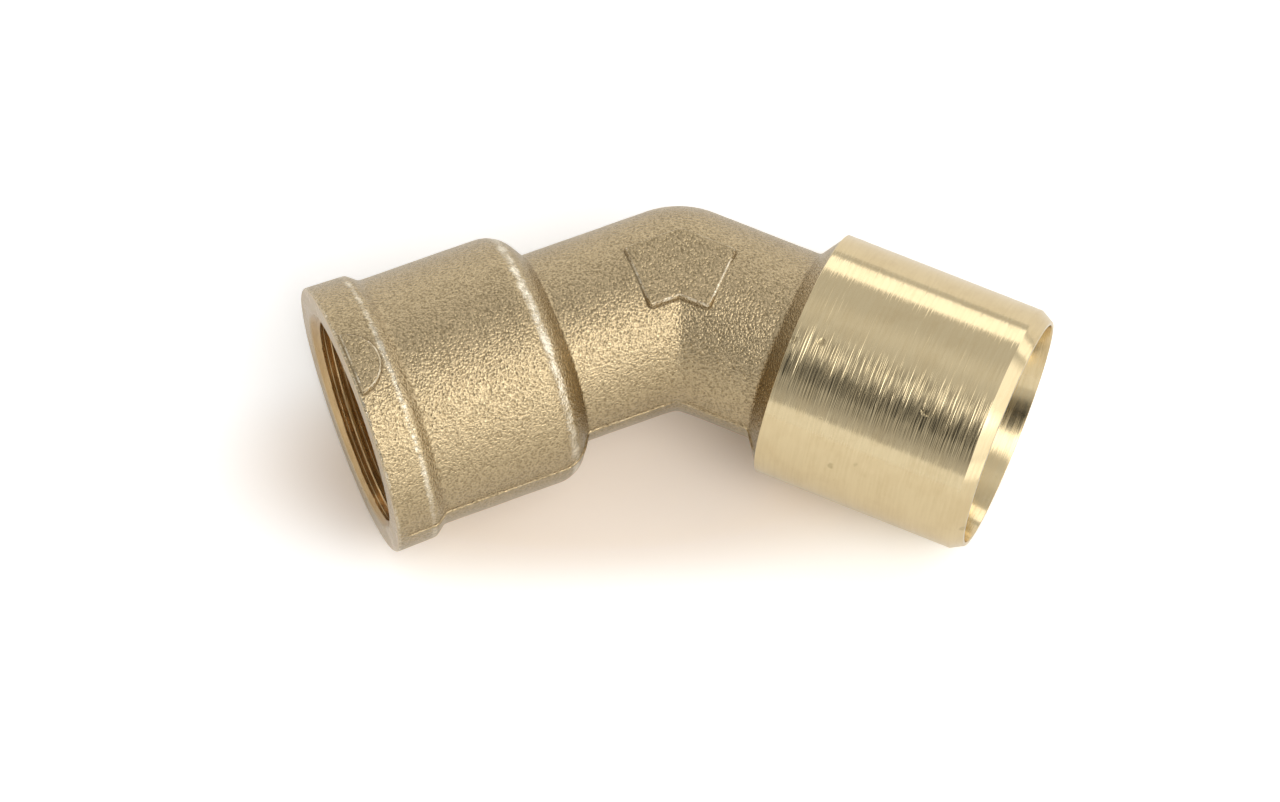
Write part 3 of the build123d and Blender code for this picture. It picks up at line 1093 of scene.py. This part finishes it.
@dataclass
class RaisedPad:
    """A flat-topped pad that stands on the forged skin, with a rounded edge and a filleted foot.

    Args:
        node: the frame's node that it stands for.
        loop: its outline in the level plane.
        heart: a point that sees the whole outline.
        top: the height of its flat top.
        ground: gives the skin's height over points of the level plane.
        place: turns (x, y, height) into points about the bend's centre.
        brow: how far the rounding of the upper edge reaches inwards from the outline.
        foot: how far the fillet at the skin reaches outwards.
        wall: the width of the slope between them.
        flat_scales: how large the outlines on the flat top are, as shares of its size.
        edge_rows: how many outlines the edge has.
        dip: how far the edge ends below the skin.
        root: how deep below the skin the pad is closed.
        wear_and_highlight: the rub value of the upper half of the edge, which is worn and has a painted
            highlight.
        stain_and_crease_shade: the rub value of the foot, below zero for a painted shade in the crease.
    """

    node: str
    loop: np.ndarray
    heart: np.ndarray
    top: float
    ground: Callable[[np.ndarray], np.ndarray]
    place: Callable[[np.ndarray], np.ndarray]
    brow: float = 0.32
    foot: float = 0.34
    wall: float = 0.14
    flat_scales: tuple[float, ...] = (0.04, 0.25, 0.5, 0.72, 0.88)
    edge_rows: int = 15
    dip: float = 0.02
    root: float = 0.6
    wear_and_highlight: float = 0.8
    stain_and_crease_shade: float = -0.55

    def skin(self) -> Skin:
        """The pad's surface, as outlines that shrink inwards on top and spread out at the foot.

        Across the edge, the share of the way down from the top to the skin goes from 0 to 1 along a
        smooth step, and the last two outlines dip into the skin, so that the pad grows out of it. The
        upper half of the edge is worn and has a painted highlight, and the foot has a painted shade.
        """
        normal = outward_normals(self.loop)
        rings: list[np.ndarray] = []
        for scale in self.flat_scales:
            shrunk = self.heart + (self.loop - normal * self.brow - self.heart) * scale
            rings.append(np.column_stack([shrunk, np.full(len(shrunk), self.top)]))
        width = self.brow + self.wall + self.foot
        shares = np.linspace(0, 1, self.edge_rows)
        for share, down in zip(shares, smooth(0.0, 1.0, shares)):
            spot = self.loop + normal * (share * width - self.brow)
            sunk_skin = self.ground(spot) - self.dip
            height = self.top * (1 - down) + sunk_skin * down
            rings.append(np.column_stack([spot, np.maximum(height, sunk_skin)]))
        sunk = self.loop + normal * (width - self.brow)
        rings.append(np.column_stack([sunk, self.ground(sunk) - self.root]))
        middle = self.heart + (self.loop - self.heart) * self.flat_scales[0]
        rings.append(np.column_stack([middle, self.ground(middle) - self.root - 0.2]))
        # The upper edge is worn with a painted highlight; the foot takes a painted shade in its crease.
        edge = np.where((shares > 0) & (shares < 0.45), self.wear_and_highlight, 0.0)
        edge = np.where((shares > 0.55) & (shares < 0.9), self.stain_and_crease_shade, edge)
        wear_highlight_shade = np.concatenate([np.zeros(len(self.flat_scales)), edge, np.zeros(2)])
        points = self.place(np.array(rings))
        return Skin(f"{self.node}_skin", points, rows_close=False, wear_highlight_shade=wear_highlight_shade, sharp_angle=75.0)


@dataclass
class MarkingPads:
    """The two raised pads for markings, left blank. Millimetres."""

    layout: Layout
    neck: float = NECK_RADIUS
    pad_rise: float = 0.24
    pad_half_width: float = 6.6
    pad_length: float = 8.7
    pad_corner: float = 0.7
    mouth_pad_radius: float = 6.4
    mouth_pad_across: float = -0.9
    mouth_pad_front: float = 66.4
    mouth_pad_top: float = 26.55

    def bend_outline(self) -> np.ndarray:
        """The V-shaped band over the crown: it follows both arms for the same length."""
        half, length = self.pad_half_width, self.pad_length
        socket, cup = self.layout.socket, self.layout.cup
        spots = []
        for arm, sides in ((socket, (1, -1)), (cup, (-1, 1))):
            for side in sides:
                spots.append(arm.direction[:2] * length + arm.outward[:2] * half * side)
        reach = half / math.cos(math.asin(abs(socket.direction[1])))
        corners = [*spots[:2], np.array([0.0, -reach]), *spots[2:], np.array([0.0, reach])]
        rounds = [self.pad_corner, self.pad_corner, 0.5, self.pad_corner, self.pad_corner, 2.5]
        return rounded_outline([(*spot, rounding) for spot, rounding in zip(corners, rounds)], 0.25)

    def build(self, finishes: Finishes) -> None:
        """Builds both pads and puts them in the frame."""
        ground = Ground(self.layout.socket, self.layout.cup, self.neck)
        crown = RaisedPad(
            "marking_pad",
            self.bend_outline(),
            np.array([0.0, -1.0]),
            self.neck + self.pad_rise,
            ground.over_bend,
            lambda points: points,
        )
        put_in_frame(crown.skin().build(self.layout, [finishes.forged]), "marking_pad")
        put_in_frame(self.mouth_pad().build(self.layout, [finishes.forged]), "mouth_pad")

    def mouth_pad(self) -> Skin:
        """The half-round pad on the bead: a disc cut off just behind the machined face."""
        socket = SocketArm(self.layout.socket)
        reach = socket.face - self.mouth_pad_front
        start = math.acos(reach / self.mouth_pad_radius)
        sweep = np.linspace(start, 2 * math.pi - start, 56)
        arc = np.stack([-np.cos(sweep + math.pi), np.sin(sweep)], 1) * self.mouth_pad_radius
        loop = arc + np.array([socket.face, self.mouth_pad_across])
        loop = loop[loop[:, 0] <= self.mouth_pad_front + 1e-6]
        steps = np.linspace(0, 1, 30)[1:-1, None]
        loop = np.concatenate([loop, loop[-1] + (loop[0] - loop[-1]) * steps])
        outline = run_with_rounds(socket.bead().outer, 0.4)
        outline = outline[np.argsort(outline[:, 0])]
        arm = self.layout.socket

        def ground(plan: np.ndarray) -> np.ndarray:
            """The bead's height at (distance, across)."""
            radius = np.interp(plan[..., 0], outline[4:, 0], outline[4:, 1])
            radius = np.where(plan[..., 0] > socket.face - 1, socket.bead_front, radius)
            return np.sqrt(np.maximum(radius**2 - plan[..., 1] ** 2, 0.0))

        def place(points: np.ndarray) -> np.ndarray:
            """(distance, across, height) about the bend's centre."""
            flat = points[..., :1] * arm.direction + points[..., 1:2] * arm.outward
            return flat + points[..., 2:] * UP

        heart = np.array([socket.face - 2.6, self.mouth_pad_across])
        pad = RaisedPad("mouth_pad", loop, heart, self.mouth_pad_top, ground, place, 0.28, 0.3, 0.12)
        return pad.skin()


@dataclass
class FlashLines:
    """The trimmed flash along the parting plane, one low ridge inside the bend and one outside."""

    layout: Layout
    height: float = 1.1
    proud: float = 0.3
    front: float = 66.0
    foot: float = 25.4
    step: float = 0.35
    ball_half_angle: float = 0.36
    wear_and_highlight: float = 0.55

    def path(self, side: int) -> tuple[np.ndarray, np.ndarray]:
        """The ridge's course in the level plane and its normals, away from the metal.

        Args:
            side: +1 outside the bend, -1 inside it.
        """
        socket, cup = SocketArm(self.layout.socket), CupArm(self.layout.cup)
        left = np.concatenate(
            [
                run_with_rounds(socket.bead().outer[2:], 0.5),
                run_with_rounds(socket.shoulder().outer, 0.5),
            ]
        )
        left = left[(left[:, 0] < self.front) & (left[:, 0] > 0)]
        right = run_with_rounds(cup.shoulder().outer, 0.4)
        right = right[right[:, 0] < self.foot][::-1]
        neck = np.linspace(socket.neck_cut - 0.5, 0.0, 48)[:-1, None]
        plain = np.column_stack([neck, np.full_like(neck, socket.neck)])
        left = np.concatenate([left, plain])
        right = np.concatenate([plain[plain[:, 0] < cup.neck_cut - 0.3][::-1], right])
        courses = []
        for arm, outline in ((self.layout.socket, left), (self.layout.cup, right)):
            spots = outline[:, :1] * arm.direction[:2] + outline[:, 1:] * arm.outward[:2] * side
            keep = spots[:, 0] * np.sign(arm.direction[0]) > 0.15
            courses.append(spots[keep])
        if side > 0:
            angles = math.pi / 2 + np.linspace(self.ball_half_angle, -self.ball_half_angle, 16)
            ball = np.stack([np.cos(angles), np.sin(angles)], 1) * socket.neck
            courses.insert(1, ball)
        course = np.concatenate(courses)
        gaps = np.linalg.norm(np.diff(course, axis=0), axis=1)
        course = course[np.append(True, gaps > 1e-3)]
        length = np.append(0, np.cumsum(np.linalg.norm(np.diff(course, axis=0), axis=1)))
        even = np.arange(0, length[-1], self.step)
        course = np.column_stack([np.interp(even, length, course[:, i]) for i in range(2)])
        tangent = np.gradient(course, axis=0)
        normal = np.stack([-tangent[:, 1], tangent[:, 0]], 1)
        normal /= np.linalg.norm(normal, axis=1, keepdims=True)
        return course, normal * (1 if side > 0 else -1)

    def ridge(self, side: int, name: str) -> Skin:
        """A low ridge whose section is a raised cosine, slightly uneven in height, width and level."""
        course, normal = self.path(side)
        along = np.arange(len(course)) * self.step
        wobble = np.sin(along * 0.21 + side)
        wobble += 0.6 * np.sin(along * 0.57 + 2.0) + 0.4 * np.sin(along * 1.31)
        level = 0.10 * np.sin(along * 0.09 + 1.3 * side)
        ends = smooth(0.0, 1.2, np.minimum(along, along[-1] - along))
        across = np.array([-1.0, -0.9, -0.7, -0.45, -0.2, 0.0, 0.2, 0.45, 0.7, 0.9, 1.0])
        shape = 0.5 + 0.5 * np.cos(math.pi * np.clip((np.abs(across) - 0.35) / 0.65, 0, 1))
        half = (self.height / 2) * (1 + 0.07 * wobble)
        rise = self.proud * (0.85 + 0.10 * wobble) * ends
        upright = level[:, None] + across * half[:, None]
        lift = shape * rise[:, None] - 0.03
        section_lift = np.concatenate([lift, np.full((len(course), 2), -0.7)], axis=1)
        section_up = np.concatenate([upright, upright[:, -1:], upright[:, :1]], axis=1)
        flat = course[:, None, :] + normal[:, None, :] * section_lift[..., None]
        points = np.concatenate([flat, section_up[..., None]], axis=-1)
        # The ridge is worn along its length, which also paints a highlight on it.
        wear_highlight_shade = np.full(len(course), self.wear_and_highlight)
        return Skin(name, points, rows_close=False, wear_highlight_shade=wear_highlight_shade, sharp_angle=75.0)

    def build(self, finishes: Finishes) -> None:
        """Builds both ridges and puts them in the frame."""
        for side, node in ((-1, "flash_inside_bend"), (1, "flash_outside_bend")):
            skin = self.ridge(side, f"{node}_skin")
            put_in_frame(skin.build(self.layout, [finishes.forged]), node)


# ------------------------------------------------------------
# The studio
# ------------------------------------------------------------


@dataclass(frozen=True)
class Softbox:
    """A lit rectangle in the studio, given by where its middle stands and how wide and tall it is.

    Args:
        azimuth: degrees clockwise from +Y, seen from above.
        elevation: degrees above the floor.
        half_width: half its width in degrees.
        half_height: half its height in degrees.
        power: its brightness.
        edge: how soft its border is, as a share of its size.
    """

    azimuth: float
    elevation: float
    half_width: float
    half_height: float
    power: float
    edge: float = 0.25

    def axes(self) -> tuple[Vector, Vector, Vector]:
        """Unit vectors towards its middle, to its right and to its top."""
        a, e = math.radians(self.azimuth), math.radians(self.elevation)
        middle = Vector((math.sin(a) * math.cos(e), math.cos(a) * math.cos(e), math.sin(e)))
        right = Vector((math.cos(a), -math.sin(a), 0.0))
        return middle, right, right.cross(middle)


@dataclass
class Studio:
    """The pale floor, the soft lights and the camera.

    Args:
        layout: where the elbow stands.
        room: the even light from all round.
        low_light: the light of the low band in front, on its dark side and on its bright side.
        low_band: the elevations between which the low band ends, in degrees.
        darkest: the least light from anywhere.
        tint: the light's colour.
        boxes: the softboxes; one with a negative power is a dark card.
        camera_spot: the camera's place about the bend's centre, in millimetres.
        camera_azimuth: degrees from -Y towards +X.
        camera_elevation: degrees above the floor.
        camera_roll: degrees about the line of sight.
        lens: the focal length in millimetres.
        sensor: the sensor's width in millimetres.
        floor_size: the floor's side in metres.
        floor_gap: the floor's distance below the elbow in millimetres.
        floor_tone: the paper as it lights the elbow.
        floor_painted_shadow: a painted shadow, the paper as it shows where the elbow shades it.
        floor_far: the paper as it shows elsewhere.
        shade_spot: the middle of the painted shadow about the bend's centre, in millimetres.
        shade_reach: distances from it at which floor_painted_shadow ends and floor_far begins.
        shade_stretch: how many times a distance towards the back counts.
    """

    layout: Layout
    room: float = 0.60
    low_light: tuple[float, float] = (0.92, 1.52)
    low_band: tuple[float, float] = (13.0, 15.5)
    darkest: float = 0.03
    tint: Colour = (1.0, 0.985, 0.965, 1.0)
    boxes: Sequence[Softbox] = (
        Softbox(12.0, 18.0, 62.0, 10.0, 0.92, 0.12),
        Softbox(0.0, 70.0, 30.0, 9.0, 0.10, 0.5),
        Softbox(116.0, 44.0, 42.0, 26.0, 0.7, 0.25),
        Softbox(144.0, 51.0, 15.0, 13.0, 2.8, 0.4),
        Softbox(152.0, 71.0, 13.0, 8.0, 1.4, 0.3),
        Softbox(-148.0, 50.0, 26.0, 8.0, -0.20, 0.5),
        Softbox(-147.0, 39.0, 8.0, 26.0, -0.17, 0.35),
        Softbox(-174.0, 45.0, 15.0, 19.0, -0.48, 0.4),
        Softbox(-136.0, 72.0, 17.0, 10.0, -0.24, 0.5),
    )
    camera_spot: tuple[float, float, float] = (-12.94, -496.23, 1030.66)
    camera_azimuth: float = -0.708
    camera_elevation: float = 65.219
    camera_roll: float = 1.674
    lens: float = 168.75
    sensor: float = 36.0
    floor_size: float = 6.0
    floor_gap: float = 0.05
    floor_tone: Colour = (0.92, 0.9, 0.87, 1.0)
    floor_painted_shadow: Colour = (1.15, 1.04, 0.94, 1.0)
    floor_far: Colour = (1.42, 1.42, 1.42, 1.0)
    shade_spot: tuple[float, float, float] = (-18.0, -24.0, 0.0)
    shade_reach: tuple[float, float] = (40.0, 85.0)
    shade_stretch: float = 3.0

    def floor(self) -> None:
        """A wide pale floor that touches both the bead and the turned end.

        The turned end is slimmer than the bead, so the floor leans by the difference of their radii
        over the distance between the two places where they rest.
        """
        bottom = self.layout.centre[2]
        socket, cup = SocketArm(self.layout.socket), CupArm(self.layout.cup)
        middle = self.layout.centre[0]
        bead_x = middle + socket.arm.direction[0] * (socket.face - socket.bead_rest) * MM
        cup_x = middle + cup.arm.direction[0] * (cup.face - cup.chamfer) * MM
        bead_low = bottom - socket.bead_front * MM
        cup_low = bottom - self.layout.turned_radius * MM
        slope = (cup_low - bead_low) / (cup_x - bead_x)
        half = self.floor_size / 2
        plan = ((-half, -half), (half, -half), (half, half), (-half, half))
        corners = [(x, y, bead_low + slope * (x - bead_x) - self.floor_gap * MM) for x, y in plan]
        mesh = bpy.data.meshes.new("floor")
        mesh.from_pydata(corners, [], [(0, 1, 2, 3)])
        mesh.materials.append(self.floor_finish())
        floor = bpy.data.objects.new("floor", mesh)
        bpy.context.collection.objects.link(floor)

    def floor_finish(self) -> Material:
        """White matte paper that reads as white and lights the elbow a little less than it shows.

        Its tone goes from floor_painted_shadow to floor_far with the distance from shade_spot, in front
        of the bend, where distances towards the back count shade_stretch times. The darker, warmer tone
        near the spot is a painted shadow of the elbow.
        """
        sheet, material = empty_material("pale_floor")
        seen = sheet.add("ShaderNodeLightPath").outputs["Is Camera Ray"]
        squash = Vector((1.0, self.shade_stretch, 0.0))
        spot = Vector(self.layout.to_frame(np.array(self.shade_spot))) * squash
        place = sheet.add("ShaderNodeTexCoord").outputs["Object"]
        place = sheet.vector("MULTIPLY", place, squash).outputs[0]
        away = sheet.vector("DISTANCE", place, spot).outputs["Value"]
        share = sheet.remap(away, self.shade_reach[0] * MM, self.shade_reach[1] * MM, 0.0, 1.0)
        # Painted shadow: near shade_spot the paper shows darker and warmer.
        tone = sheet.mix(share, self.floor_painted_shadow, self.floor_far)
        tone = sheet.mix(seen, self.floor_tone, tone)
        paper = sheet.add("ShaderNodeBsdfDiffuse", {"Color": tone})
        sheet.add("ShaderNodeOutputMaterial", {"Surface": paper.outputs[0]})
        return material

    def softbox_group(self) -> Tree:
        """A soft-edged rectangle in the sky, by the tangents of its angles from the middle."""
        inputs = dict.fromkeys(("Direction", "Middle", "Right", "Top"), VECTOR)
        inputs |= dict.fromkeys(("Half Width", "Half Height", "Edge"), FLOAT)
        sheet, gate = new_group("softbox", inputs, ("Light",))
        facing = sheet.vector("DOT_PRODUCT", gate["Direction"], gate["Middle"]).outputs["Value"]
        shown = sheet.math("GREATER_THAN", facing, 0.02)
        safe = sheet.math("MAXIMUM", facing, 0.02)
        masks = []
        for axis, size in (("Right", "Half Width"), ("Top", "Half Height")):
            reach = sheet.vector("DOT_PRODUCT", gate["Direction"], gate[axis]).outputs["Value"]
            tangent = sheet.math("ABSOLUTE", sheet.math("DIVIDE", reach, safe))
            share = sheet.math("DIVIDE", tangent, gate[size])
            low = sheet.math("SUBTRACT", 1.0, gate["Edge"])
            high = sheet.plus(1.0, gate["Edge"])
            masks.append(sheet.remap(share, low, high, 1.0, 0.0))
        sheet.give(Light=sheet.times(sheet.times(masks[0], masks[1]), shown))
        return sheet.tree

    def world(self) -> None:
        """A soft studio all round: an even room, a bright low band, softboxes and one dark side."""
        world = bpy.data.worlds.new("studio")
        bpy.context.scene.world = world
        world.use_nodes = True
        world.node_tree.nodes.clear()
        sheet = NodeSheet(world.node_tree)
        direction = sheet.add("ShaderNodeTexCoord").outputs["Generated"]
        side, front, height = sheet.add("ShaderNodeSeparateXYZ", {0: direction}).outputs
        total = self.room
        tree = self.softbox_group()
        for box in self.boxes:
            middle, right, top = box.axes()
            inputs = {
                "Direction": direction,
                "Middle": middle,
                "Right": right,
                "Top": top,
                "Half Width": math.tan(math.radians(box.half_width)),
                "Half Height": math.tan(math.radians(box.half_height)),
                "Edge": box.edge,
            }
            light = sheet.group(tree, inputs).outputs[0]
            total = sheet.math("MULTIPLY_ADD", light, box.power, total)
        total = sheet.math("MAXIMUM", total, self.darkest)
        bottom, top = (math.sin(math.radians(degrees)) for degrees in self.low_band)
        low = sheet.remap(height, bottom, top, 1.0, 0.0)
        low = sheet.times(low, sheet.remap(front, -0.1, 0.1, 1.0, 0.0))
        lit = sheet.remap(side, -0.1, 0.5, *self.low_light)
        lowered = sheet.times(low, lit)
        kept = sheet.times(total, sheet.math("SUBTRACT", 1.0, low))
        total = sheet.plus(kept, lowered)
        seen = sheet.add("ShaderNodeLightPath").outputs["Is Camera Ray"]
        strength = sheet.add("ShaderNodeMix", {0: seen, 2: total, 3: 1.0}, data_type="FLOAT").outputs[0]
        background = sheet.add("ShaderNodeBackground", {"Color": self.tint, "Strength": strength})
        sheet.add("ShaderNodeOutputWorld", {"Surface": background.outputs[0]})

    def camera(self) -> None:
        """A long lens from above the front, looking down on the elbow, with a slight roll."""
        azimuth, elevation = math.radians(self.camera_azimuth), math.radians(self.camera_elevation)
        level = Vector((math.sin(azimuth), -math.cos(azimuth), 0.0))
        back = level * math.cos(elevation) + Vector((0.0, 0.0, math.sin(elevation)))
        right = Vector((math.cos(azimuth), math.sin(azimuth), 0.0))
        up = back.cross(right)
        roll = math.radians(self.camera_roll)
        rolled_right = right * math.cos(roll) + up * math.sin(roll)
        rolled_up = up * math.cos(roll) - right * math.sin(roll)
        data = bpy.data.cameras.new("camera")
        data.lens = self.lens
        data.sensor_width = self.sensor
        data.clip_start, data.clip_end = 0.05, 20.0
        camera = bpy.data.objects.new("camera", data)
        turned = Matrix((rolled_right, rolled_up, back)).transposed().to_4x4()
        spot = Vector(self.layout.to_frame(np.array(self.camera_spot)))
        camera.matrix_world = Matrix.Translation(spot) @ turned
        bpy.context.collection.objects.link(camera)
        bpy.context.scene.camera = camera

    def build(self) -> None:
        """Builds the floor, the lights and the camera."""
        bpy.context.scene.view_settings.view_transform = "Standard"
        self.floor()
        self.world()
        self.camera()


def main() -> None:
    """Builds the elbow's skins, its finishes and the studio."""
    logging.basicConfig(level=logging.INFO, format="%(name)s: %(message)s")
    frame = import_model()
    layout = Layout.from_record(frame["record"])
    LOG.info("bend centre at %s m", np.round(layout.centre, 5))
    finishes = Finishes.build(layout)
    SocketArm(layout.socket).build(layout, finishes)
    Bend(layout.socket, layout.cup).build(layout, finishes)
    CupArm(layout.cup).build(layout, finishes)
    MarkingPads(layout).build(finishes)
    FlashLines(layout).build(finishes)
    Studio(layout).build()


if __name__ == "__main__":
    main()
